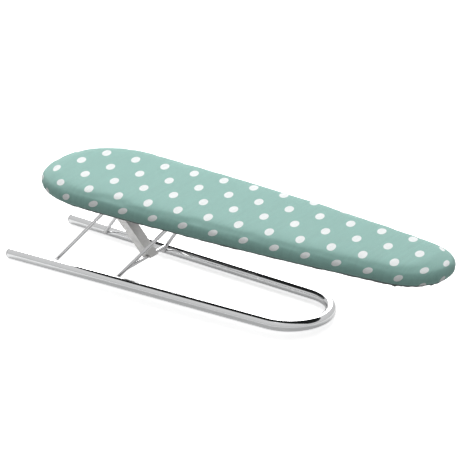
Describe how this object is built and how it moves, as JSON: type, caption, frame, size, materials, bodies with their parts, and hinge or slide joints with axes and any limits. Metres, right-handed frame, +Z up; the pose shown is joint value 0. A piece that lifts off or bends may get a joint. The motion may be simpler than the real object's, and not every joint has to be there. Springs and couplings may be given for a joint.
{
  "type": "table-top sleeve ironing board",
  "caption": "Small table-top ironing board for sleeves: padded tapering board on two wire bails over a bent tube base, held by a hooked brace and folding flat.",
  "frame": {"origin": "centre of the bounding box in plan, on the table surface", "axes": "+X towards the narrow tip of the board, +Z up, +Y across it"},
  "size_m": [0.5264, 0.1426, 0.108],
  "materials": {
    "chrome": "bright chrome plate",
    "wire": "bright plated wire",
    "zinc": "zinc plated sheet",
    "dark_steel": "dark plated fastener",
    "end_plug": "pale grey moulded plastic",
    "fibreboard": "dark stained fibreboard",
    "felt": "pressed wool felt",
    "foam": "open cell foam",
    "cover": "woven cotton, white dots on sea green",
    "hem": "plain dark cotton casing",
    "elastic": "knitted elastic"
  },
  "bodies": {
    "base": {"base_tube": "chrome", "end_plug_near": "end_plug", "end_plug_far": "end_plug"},
    "rear_bail": {"rear_bail": "wire"},
    "front_bail": {"front_bail": "wire", "cross_rod": "wire"},
    "board": {"deck": "fibreboard", "felt_underlay": "felt", "foam_pad": "foam", "cotton_cover": "cover", "hem_casing": "hem", "hem_elastic": "elastic", "rear_saddle": "zinc", "front_saddle": "zinc", "saddle_screws": "dark_steel", "brace_clevis": "zinc", "clevis_screws": "dark_steel", "brace_pin": "dark_steel", "pin_cap": "dark_steel"},
    "brace": {"brace_channel": "zinc"}
  },
  "joints": [
    {"name": "rear_bail_foot", "type": "hinge", "parent": "base", "child": "rear_bail", "pos_m": [-0.2081, 0, 0.006], "axis": [0, -1, 0], "range_deg": [0, 124]},
    {"name": "front_bail_foot", "type": "hinge", "parent": "base", "child": "front_bail", "pos_m": [-0.1276, 0, 0.006], "axis": [0, -1, 0], "range_deg": [0, 124]},
    {"name": "board_on_rear_bail", "type": "hinge", "parent": "rear_bail", "child": "board", "pos_m": [-0.14656, 0, 0.082], "axis": [0, 1, 0], "range_deg": [0, 124]},
    {"name": "brace_hinge", "type": "hinge", "parent": "board", "child": "brace", "pos_m": [-0.1721, 0.008, 0.073], "axis": [0, -1, 0], "range_deg": [0, 45.56]}
  ],
  "couplings": [
    {"joint": "front_bail_foot", "follows": "rear_bail_foot", "ratio": 1},
    {"joint": "board_on_rear_bail", "follows": "rear_bail_foot", "ratio": 1},
    {"joint": "brace_hinge", "follows": "rear_bail_foot", "ratio": 0.367}
  ]
}
